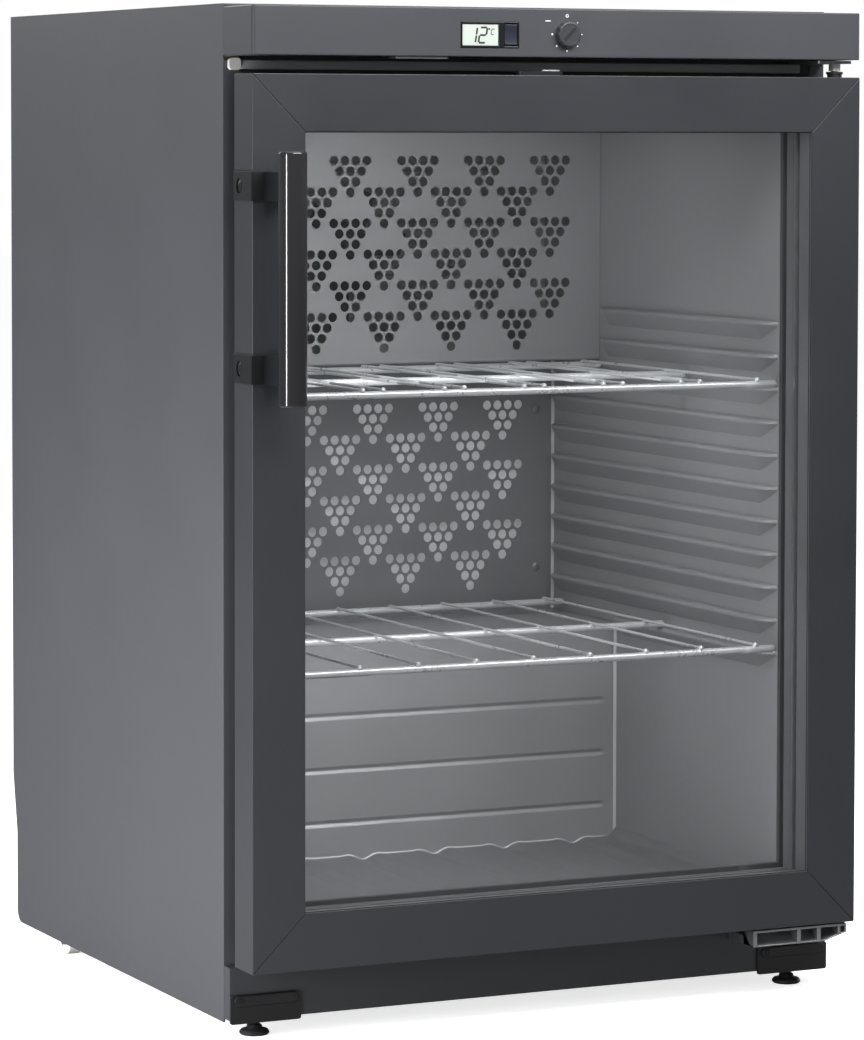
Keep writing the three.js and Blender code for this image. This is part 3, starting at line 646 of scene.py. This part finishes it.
def duct_sheets():
    """The evaporator's cover with its rolled lower edge, and the rear air duct's sheet."""
    x0, x1, y0, y1, z0, z1 = span("evaporator_cover")
    outer = [(x0, z0 + 2.2), (x1, z0 + 2.2), (x1, z1), (x0, z1)]
    front = pierced(outer, vents(first_line=762.6, rows=6, right=200), "y", y0, y0 + 1.2)
    foot = [(y0, z0 + 2.3), (y0 + 0.2, z0 + 1.0), (y0 + 1.0, z0 + 0.2), (y0 + 2.4, z0),
            (y1, z0), (y1, z0 + 1.6), (y0 + 3, z0 + 1.6), (y0 + 1.2, z0 + 2.3)]
    bottom = prism(foot, "x", x0, x1)
    piece("evaporator_cover_sheet", gather(front, bottom), "cabinet", BACK,
          replaces=["evaporator_cover"], flat=True)
    # The rear duct sheet takes the shaded copy of the duct steel: painted shade.
    x0, x1, y0, y1, z0, z1 = span("rear_duct_panel")
    outer = [(x0, z0), (x1, z0), (x1, z1), (x0, z1)]
    panel = pierced(outer, vents(first_line=513.6, rows=6, right=199), "y", y0, y1)
    piece("rear_duct_sheet", panel, "cabinet", BACK_SHADED, replaces=["rear_duct_panel"],
          flat=True)
    screws = [screw_head((x, y0, z), "y", 4.2, 1.6, -1)
              for x in (-237, 237) for z in (508, 347)]
    piece("duct_screws", gather(*screws), "cabinet", ZINC, sharp=50)


duct_sheets()

# --------------------------------------------------------- chamber: machinery

dress("evaporator", FINS, 0.3)
dress("fan_motor", BLACK, 0.6)
dress("fan_rotor", BLACK, 0.4)
dress("compressor", COMPRESSOR, 0)
dress("drip_tray", TRAY, 0.6)
dress("condenser_coil", FINS, 0.3)
dress("machine_grille", GRILLE, 0.3)
dress("power_inlet", BLACK, 0.4)

# ------------------------------------------------------------------- shelves


def wire_shelf(name, node, body, wires):
    """Three thick cross bars, with thin wires welded on top at the given places."""
    x0, x1, y0, y1, z0, _ = span(node)
    bar, wire = 3.4, 1.4
    bar_z = z0 + bar
    half = (x1 - x0) / 2 - bar
    front, rear = y0 + bar, y1 - bar
    middle = (front + rear) / 2
    bars = []
    for y in (front, middle, rear):
        bars.append(tube([(-half, y, bar_z), (0, y, bar_z), (half, y, bar_z)], bar, 16))
    runs = []
    for x in wires:
        runs.append(tube([(x, front - 1.6, bar_z + 2.6), (x, front + 0.6, bar_z + 4.1),
                          (x, front + 4, bar_z + 4.2), (x, middle, bar_z + 4.2),
                          (x, rear - 4, bar_z + 4.2), (x, rear - 0.4, bar_z + 4.1),
                          (x, rear + 1.4, bar_z + 2.8)], wire, 9))
    piece(name, gather(*bars, *runs), body, CHROME, replaces=[node],
          sharp=60)
    beads = []
    for x in wires:
        for y, size in ((front - 0.4, 1.25), (middle, 0.9), (rear, 0.9)):
            profile = [(2.3 * size, 0), (2.3 * size, 1.4 * size), (1.9 * size, 2.3 * size),
                       (1.1 * size, 3.0 * size), (0, 3.2 * size)]
            beads.append(lathe(profile, "z", (x, y, bar_z + 2.6), 12))
    piece(name + "_welds", gather(*beads), body, CHROME, sharp=60)


lower_wires = [57.2 * i for i in range(-4, 5)]
upper_wires = [-229.2, 229.2] + [79.6 * i + d for i in range(-2, 3) for d in (-9.9, 9.9)]
wire_shelf("wire_shelf_upper", "shelf_upper", "shelf_upper", upper_wires)
wire_shelf("wire_shelf_lower", "shelf_lower", "shelf_lower", lower_wires)

# ---------------------------------------------------- fascia and its controls


def fascia():
    """A pressed channel: front sheet with its cutouts, top and bottom flanges, ends."""
    x0, x1, y0, y1, z0, z1 = span("fascia")
    low, high, sheet = 856.8, z1, 2.5
    display = [(-104, 864.1), (-47, 864.1), (-47, 887.5), (-104, 887.5)]
    knob = ring_loop(0, 877, 4, 20)
    radius, edge = 3.5, 1.0
    steps = 6
    flat = [(x0 + radius, low + edge), (x1 - radius, low + edge),
            (x1 - radius, high - edge), (x0 + radius, high - edge)]
    front = pierced(flat, [display, knob], "y", y0, y0 + sheet)
    section = [(y0, low + edge)]
    for i in range(steps + 1):
        a = math.radians(180 + 90 * i / steps)
        section.append((y0 + edge + edge * math.cos(a), low + edge + edge * math.sin(a)))
    section += [(y1, low), (y1, low + sheet), (y0 + sheet, low + sheet),
                (y0 + sheet, low + edge)]
    lower = prism(section[1:], "x", x0 + radius, x1 - radius)
    mirrored = [(y, low + high - z) for y, z in section[1:]]
    upper = prism(mirrored, "x", x0 + radius, x1 - radius)
    ends = []
    for side, edge_x in ((-1, x0), (1, x1)):
        rings = []
        for inset, z in ((1.0, low), (0.5, low + 0.15), (0.15, low + 0.5), (0, low + 1.0),
                         (0, high - 1.0), (0.15, high - 0.5), (0.5, high - 0.15), (1.0, high)):
            loop = []
            for i in range(steps + 1):
                a = math.radians(270 + 90 * i / steps)
                r = radius - inset
                loop.append((r * math.cos(a) - radius, y0 + radius + r * math.sin(a)))
            loop.append((-inset, y1))
            loop.append((-radius, y1))
            rings.append([(edge_x + side * u, v, z) for u, v in loop])
        ends.append(loft(rings))
    piece("fascia_panel", gather(front, lower, upper, *ends), "cabinet", FASCIA,
          replaces=["fascia"], sharp=50)
    clip = prism(rounded(-164, -114, 2, 20, 1.5, 4), "z", z0, low - 0.05)
    piece("fascia_clip", clip, "cabinet", SPACER, bevel=0.5)
    catch = prism([(3, z0), (10, z0), (10, low - 0.1), (3, low - 0.1)], "x", -150, -128)
    piece("fascia_clip_tab", catch, "cabinet", ZINC, bevel=0.4)


fascia()
dress("display_bezel", BEZEL, 0.5, 3)
dress("lcd_window", LCD, 0.3)
dress("thermostat_body", WHITE, 0.5)


def segment_digits():
    """Seven-segment 12, slanted, with a small degree ring and C."""
    x0, x1, y0, _, z0, z1 = span("lcd_window")
    y, deep = y0 - 0.06, 0.12
    height = (z1 - z0) * 0.72
    width = height * 0.5
    lean = 0.16
    base_z = z0 + (z1 - z0) * 0.13
    parts = []

    def bar(cx, a, b, thick):
        (u0, v0), (u1, v1) = a, b
        du, dv = u1 - u0, v1 - v0
        length = math.hypot(du, dv)
        nu, nv = -dv / length * thick / 2, du / length * thick / 2
        gap = 0.12
        u0, v0 = u0 + du * gap / 2, v0 + dv * gap / 2
        u1, v1 = u1 - du * gap / 2, v1 - dv * gap / 2
        loop = [(u0 + nu, v0 + nv), (u1 + nu, v1 + nv), (u1 - nu, v1 - nv), (u0 - nu, v0 - nv)]
        loop = [(cx + u + v * lean, base_z + v) for u, v in loop]
        parts.append(prism(loop, "y", y, y + deep))

    def digit(cx, segments, w, h, thick):
        corners = {"a": ((0, h), (w, h)), "b": ((w, h), (w, h / 2)), "c": ((w, h / 2), (w, 0)),
                   "d": ((0, 0), (w, 0)), "e": ((0, 0), (0, h / 2)),
                   "f": ((0, h / 2), (0, h)), "g": ((0, h / 2), (w, h / 2))}
        for s in segments:
            bar(cx, *corners[s], thick)

    middle = (x0 + x1) / 2
    digit(middle - width * 1.75, "bc", width, height, 1.7)
    digit(middle - width * 0.3, "abged", width, height, 1.7)
    small = height * 0.36
    base_z = z0 + (z1 - z0) * 0.52
    digit(middle + width * 1.55, "adef", small * 0.6, small, 0.8)
    ring = ring_loop(middle + width * 1.3, z0 + (z1 - z0) * 0.78, 0.9, 12)
    parts.append(prism(ring, "y", y, y + deep))
    piece("lcd_digits", gather(*parts), "cabinet", DIGIT, flat=True)


segment_digits()


def rocker():
    """The rocker's cap, with a slightly domed front."""
    x0, x1, y0, y1, z0, z1 = span("rocker_switch")
    mid = (z0 + z1) / 2
    section = []
    for i in range(13):
        t = -1 + 2 * i / 12
        section.append((y0 + 0.75 * (1 - t * t), mid + t * (z1 - z0 - 1.0) / 2))
    section += [(y0 + 0.8, z1), (y1, z1), (y1, z0), (y0 + 0.8, z0)]
    piece("rocker_cap", prism(section, "x", x0, x1), "rocker_switch", ROCKER,
          replaces=["rocker_switch"], bevel=0.35, steps=3, sharp=50)


rocker()


def knob():
    """A fluted knob with a screwdriver slot, and the printed marks round it."""
    x0, x1, y0, y1, z0, z1 = span("thermostat_knob")
    cx, cz, r = (x0 + x1) / 2, (z0 + z1) / 2, (x1 - x0) / 2
    front, rear = y0, y0 + 6.0
    rings = []
    sides = 96

    def ring(y, radius, flute):
        loop = []
        for i in range(sides):
            a = 2 * math.pi * i / sides
            scallop = 1 - flute * (0.5 - 0.5 * math.cos(12 * a))
            loop.append((cx + radius * scallop * math.cos(a), y,
                         cz + radius * scallop * math.sin(a)))
        return loop

    for y, radius, flute in ((rear, r * 0.97, 0.03), (rear - 0.4, r, 0.05),
                             (front + 1.6, r * 0.985, 0.06),
                             (front + 0.5, r * 0.95, 0.05), (front, r * 0.88, 0.02),
                             (front, r * 0.8, 0.0), (front + 0.5, r * 0.76, 0.0),
                             (front + 0.5, r * 0.3, 0.0), (front + 0.5, 0.02, 0.0)):
        rings.append(ring(y, radius, flute))
    shaft = lathe([(3, rear - 0.5), (3, y1), (0, y1)], "y", (cx, 0, cz), 24)
    piece("knob_grip", gather(loft(rings), shaft), "thermostat_knob", KNOB,
          replaces=["thermostat_knob"], sharp=42)
    turn = math.radians(45)
    loop = []
    for u, v in rounded(-7.6, 7.6, -1.5, 1.5, 1.4, 5):
        loop.append((cx + u * math.cos(turn) - v * math.sin(turn),
                     cz + u * math.sin(turn) + v * math.cos(turn)))
    piece("knob_slot", prism(loop, "y", front + 0.35, front + 0.6), "thermostat_knob", BLACK)
    marks = []
    y, ink = span("fascia")[2] - 0.05, 0.2
    dial, zero_z = 14.6, cz + 16.2
    for i in range(6):
        a = math.radians(90 - 45 * (i + 1))
        dot = ring_loop(cx + dial * math.cos(a), cz + dial * math.sin(a), 0.55 + 0.07 * i, 12)
        marks.append(prism(dot, "y", y, y + ink))
    zero = pierced(ring_loop(cx, zero_z, 1.5, 20), [ring_loop(cx, zero_z, 0.85, 16)],
                   "y", y, y + ink)
    tick = prism([(cx - 21.5, cz + 11.2), (cx - 16.2, cz + 11.2), (cx - 16.2, cz + 12.0),
                  (cx - 21.5, cz + 12.0)], "y", y, y + ink)
    piece("dial_marks", gather(zero, tick, *marks), "cabinet", MARK,
          flat=True)


knob()

# ------------------------------------------------------------------ hinges

dress("upper_hinge_plate", ZINC, 0.4)
dress("upper_hinge_bush", WHITE, 0.4, 3)
dress("door_bush_upper", BLACK, 0.4, 3)


def lower_hinge():
    """The cast lower bracket, with scooped pockets between its ribs, and its pin."""
    x0, x1, y0, y1, _, z1 = span("lower_hinge_bracket")
    top, foot_low, taper_from, rise = 64.8, 49.3, 272, 6.7
    back = block(x0, x1, y0 + 18, y1, 57.2, top)
    lip = block(x0, x1, y0, y1, 62.2, top)
    scoop = []
    for x, low in ((x0, foot_low), (taper_from, foot_low), (x1, foot_low + rise)):
        scoop.append([(x, y0 + 0.6, low), (x, y0 + 0.6, low + 1.4), (x, y0 + 7, low + 2.6),
                      (x, y0 + 13, (low + top) / 2), (x, y0 + 17, top - 3), (x, y1, top - 3),
                      (x, y1, low)])
    ribs = []
    for a, b in ((x0, x0 + 4), (243, 247), (264, 268), (286, 289), (x1 - 2, x1)):
        foot = foot_low + rise * max(0, b - taper_from) / (x1 - taper_from)
        ribs.append(block(a, b, y0, y0 + 19, foot, 63))
    pin = lathe([(0, 63), (3.5, 63), (3.5, z1 - 0.6), (2.9, z1), (0, z1)], "z",
                (285, 20, 0), 28)
    piece("lower_hinge_cast", gather(back, lip, loft(scoop), *ribs), "cabinet", CAST,
          replaces=["lower_hinge_bracket"], bevel=0.7, steps=3)
    piece("lower_hinge_pin", pin, "cabinet", ZINC, sharp=50)


lower_hinge()

# -------------------------------------------------------------------- door

for node in ("door_frame_left", "door_frame_right"):
    dress(node, FRAME, 0.6, 3)
for node in ("door_frame_top", "door_frame_bottom"):
    dress(node, FRAME_X, 0.6, 3)
dress("door_inner_frame", DOORLINER, 0.5)
dress("glass_outer", GLASS, 0.3)
dress("glass_inner", GLASS, 0.3)
dress("glass_spacer", SPACER, 0.3)
dress("lock_plate", DARKPLATE, 0.5, 3)
dress("lock_bolt", ZINC, 0.6, 3)
for node in ("handle_bracket_upper", "handle_bracket_lower"):
    dress(node, BRACKET, 0.35, 3)


def gasket():
    """A soft bellows profile run round the back of the door."""
    x0, x1, y0, _, z0, z1 = span("door_gasket")
    width = 24.0
    section = [(0, 0.0), (0.6, 0.0), (0.62, 2.4), (0.9, 3.4), (0.99, 5.6), (0.86, 7.4),
               (0.99, 9.2), (0.93, 11.3), (0.7, 12.1), (0.3, 12.1), (0.06, 11.3),
               (0.0, 9.2), (0.13, 7.4), (0.0, 5.6)]
    rings = []
    corners = ((x0, z0, 1, 1), (x1, z0, -1, 1), (x1, z1, -1, -1), (x0, z1, 1, -1))
    for cx, cz, sx, sz in corners:
        rings.append([(cx + sx * u * width, y0 + v, cz + sz * u * width) for u, v in section])
    rings.append(rings[0])
    verts, faces = loft(rings, cap=False)
    n = len(section)
    keep = len(verts) - n
    faces = [[i if i < keep else i - keep for i in f] for f in faces]
    piece("gasket_bellows", (verts[:keep], faces), "door", RUBBER, replaces=["door_gasket"],
          sharp=50)


gasket()


def glazing_bead():
    """Thin bright edge and black seal round the glass, inside the frame's lip."""
    inner_x, low, high = 250.5, 116.2, 791.5
    for name, material, grow, y0, y1, slot in (
            ("glass_seal", RUBBER, 0.9, 3.05, 3.28, "gasket_rubber"),
            ("glass_bead", SPACER, 0.28, 2.0, 3.0, "spacer_alu")):
        outer = [(-inner_x, low), (inner_x, low), (inner_x, high), (-inner_x, high)]
        a, b, c = inner_x - grow, low + grow, high - grow
        hole = [(-a, b), (a, b), (a, c), (-a, c)]
        piece(name, pierced(outer, [hole], "y", y0, y1), "door", material, flat=True)


glazing_bead()


def reveal_trim():
    """Bright edge strip between the inner pane's seal and the door liner."""
    x, low, high, strip = 252.9, 112.6, 794.9, 1.2
    outer = [(-x, low), (x, low), (x, high), (-x, high)]
    hole = [(-x + strip, low + strip), (x - strip, low + strip), (x - strip, high - strip),
            (-x + strip, high - strip)]
    piece("reveal_trim", pierced(outer, [hole], "y", 30.0, 34.0), "door", ZINC,
          flat=True)


reveal_trim()


def handle():
    """A lacquered tube with dished ends, and a screw in each bracket's recess."""
    x0, x1, y0, y1, z0, z1 = span("handle_bar")
    cx, cy, r = (x0 + x1) / 2, (y0 + y1) / 2, (x1 - x0) / 2
    profile = [(0, z0 + 0.3), (r - 3.2, z0 + 0.3), (r - 2.6, z0), (r - 1.6, z0 + 0.2),
               (r - 0.5, z0 + 1.0), (r, z0 + 2.4), (r, z1 - 2.4), (r - 0.5, z1 - 1.0),
               (r - 1.6, z1 - 0.2), (r - 2.6, z1), (r - 3.2, z1 - 0.3), (0, z1 - 0.3)]
    piece("handle_tube", lathe(profile, "z", (cx, cy, 0), 64), "door", GLOSSBLACK,
          replaces=["handle_bar"], sharp=45)
    screws = []
    for node in ("handle_bracket_upper", "handle_bracket_lower"):
        face, _, _, _, low, high = span(node)
        screws.append(screw_head((face + 1.65, 24.5, (low + high) / 2), "x", 5.6, 1.3, -1))
    piece("handle_screws", gather(*screws), "door", BRACKET, sharp=50)


handle()


def back_screws():
    """Pan heads that hold the back sheet and the machine grille."""
    heads = []
    y = span("rear_panel")[3]
    for x in (-285, 0, 285):
        for z in (285, 590, 886):
            heads.append(screw_head((x, y, z), "y", 4.0, 1.8, 1))
    y = span("machine_grille")[3]
    for x in (-288, 288):
        for z in (30, 150, 258):
            heads.append(screw_head((x, y, z), "y", 3.6, 1.6, 1))
    piece("back_screws", gather(*heads), "cabinet", ZINC, sharp=50)


back_screws()

# ------------------------------------------------------------ camera and light


def aim(thing, position, target):
    thing.location = position
    thing.rotation_mode = "QUATERNION"
    thing.rotation_quaternion = (target - position).to_track_quat("-Z", "Y")


EYE = at(-1719.8, -3353.7, 797.1)
yaw, pitch, roll = math.radians(25.356), math.radians(3.061), math.radians(0.096)
ahead = Vector((math.sin(yaw) * math.cos(pitch), math.cos(yaw) * math.cos(pitch),
                -math.sin(pitch)))
right = Vector((math.cos(yaw), -math.sin(yaw), 0))
above = right.cross(ahead)
camera_right = right * math.cos(roll) + above * math.sin(roll)
camera_up = above * math.cos(roll) - right * math.sin(roll)
turned = Matrix((camera_right, camera_up, -ahead)).transposed().to_4x4()
camera = bpy.data.objects.new("camera", bpy.data.cameras.new("camera"))
bpy.context.scene.collection.objects.link(camera)
camera.matrix_world = Matrix.Translation(EYE) @ turned
camera.data.sensor_width = 36
camera.data.lens = 147.87
camera.data.shift_y = -0.16
camera.data.clip_end = 60
bpy.context.scene.camera = camera


def soft_box(name, position, target, width, height, power, diffuse=True, glossy=True):
    """A rectangular lamp, in metres and watts, that the camera doesn't see."""
    lamp = bpy.data.lights.new(name, "AREA")
    lamp.shape = "RECTANGLE"
    lamp.size, lamp.size_y = width, height
    lamp.energy = power
    box = bpy.data.objects.new(name, lamp)
    bpy.context.scene.collection.objects.link(box)
    aim(box, position, target)
    box.visible_camera = False
    box.visible_diffuse = diffuse
    box.visible_glossy = glossy


centre = at(0, 300, 450)
soft_box("key_left", at(-1050, 120, 250), at(-300, 300, 240), 1.5, 0.4, 21, glossy=False)
soft_box("front_top", at(150, -950, 1550), at(0, 0, 860), 1.6, 0.5, 33)
soft_box("handle_strip", at(-2100, -640, 590), at(-225, 0, 640), 0.1, 0.5, 9, diffuse=False)
soft_box("top_soft", at(0, 200, 3600), centre, 3.0, 3.0, 50)
soft_box("right_rim", at(3200, 1400, 1700), centre, 1.6, 2.2, 35)
soft_box("back_soft", at(-600, 3800, 2100), centre, 2.4, 2.0, 50)
soft_box("duct_lamp", at(0, 531, 430), at(0, 560, 430), 0.48, 0.22, 0.11)
soft_box("chamber_top", at(-110, 150, 784), at(-70, 420, 580), 0.3, 0.12, 1.8, glossy=False)
soft_box("chamber_low", at(-40, 130, 530), at(40, 440, 380), 0.42, 0.08, 0.6, glossy=False)
soft_box("chamber_floor", at(-60, 130, 270), at(20, 420, 215), 0.36, 0.06, 0.34, glossy=False)
soft_box("mouth_glow", at(215, 62, 440), at(257, 96, 440), 0.02, 0.66, 0.045, glossy=False)

floor_mesh = bpy.data.meshes.new("studio_floor")
floor_rings = [[(u, v, 0) for u, v in ring_loop(0, 0, radius, 64)]
               for radius in (0.01, 1.5, 4, 9, 22)]
floor_verts, floor_faces = loft(floor_rings, cap=False)
floor_mesh.from_pydata([Vector(v) for v in floor_verts], [], floor_faces)
floor = bpy.data.objects.new("studio_floor", floor_mesh)
bpy.context.scene.collection.objects.link(floor)

# White where the camera sees it, grey in the light that it sends back.
floor_finish = bpy.data.materials.new("studio_paint")
floor_finish.use_nodes = True
nodes, links = floor_finish.node_tree.nodes, floor_finish.node_tree.links
nodes.clear()
seen_white = nodes.new("ShaderNodeBsdfDiffuse")
seen_white.inputs["Color"].default_value = (0.9, 0.9, 0.9, 1)
lift = nodes.new("ShaderNodeEmission")
lift.inputs["Color"].default_value = (1, 1, 1, 1)
lift.inputs["Strength"].default_value = 0.75
both = nodes.new("ShaderNodeAddShader")
links.new(seen_white.outputs[0], both.inputs[0])
links.new(lift.outputs[0], both.inputs[1])
bounce = nodes.new("ShaderNodeBsdfDiffuse")
bounce.inputs["Color"].default_value = (0.3, 0.3, 0.3, 1)
ray = nodes.new("ShaderNodeLightPath")
pick = nodes.new("ShaderNodeMixShader")
links.new(ray.outputs["Is Camera Ray"], pick.inputs[0])
links.new(bounce.outputs[0], pick.inputs[1])
links.new(both.outputs[0], pick.inputs[2])
surface = nodes.new("ShaderNodeOutputMaterial")
links.new(pick.outputs[0], surface.inputs["Surface"])
floor_mesh.materials.append(floor_finish)

world = bpy.data.worlds.new("studio")
world.use_nodes = True
nodes, links = world.node_tree.nodes, world.node_tree.links
backdrop = nodes["Background"]
backdrop.inputs["Color"].default_value = (1, 1, 1, 1)
backdrop.inputs["Strength"].default_value = 1.0
lighting = nodes.new("ShaderNodeBackground")
lighting.inputs["Color"].default_value = (0.97, 0.98, 1, 1)
lighting.inputs["Strength"].default_value = 0.25
path = nodes.new("ShaderNodeLightPath")
choose = nodes.new("ShaderNodeMixShader")
links.new(path.outputs["Is Camera Ray"], choose.inputs[0])
links.new(lighting.outputs[0], choose.inputs[1])
links.new(backdrop.outputs[0], choose.inputs[2])
links.new(choose.outputs[0], nodes["World Output"].inputs["Surface"])
bpy.context.scene.world = world
bpy.context.scene.view_settings.view_transform = "Standard"
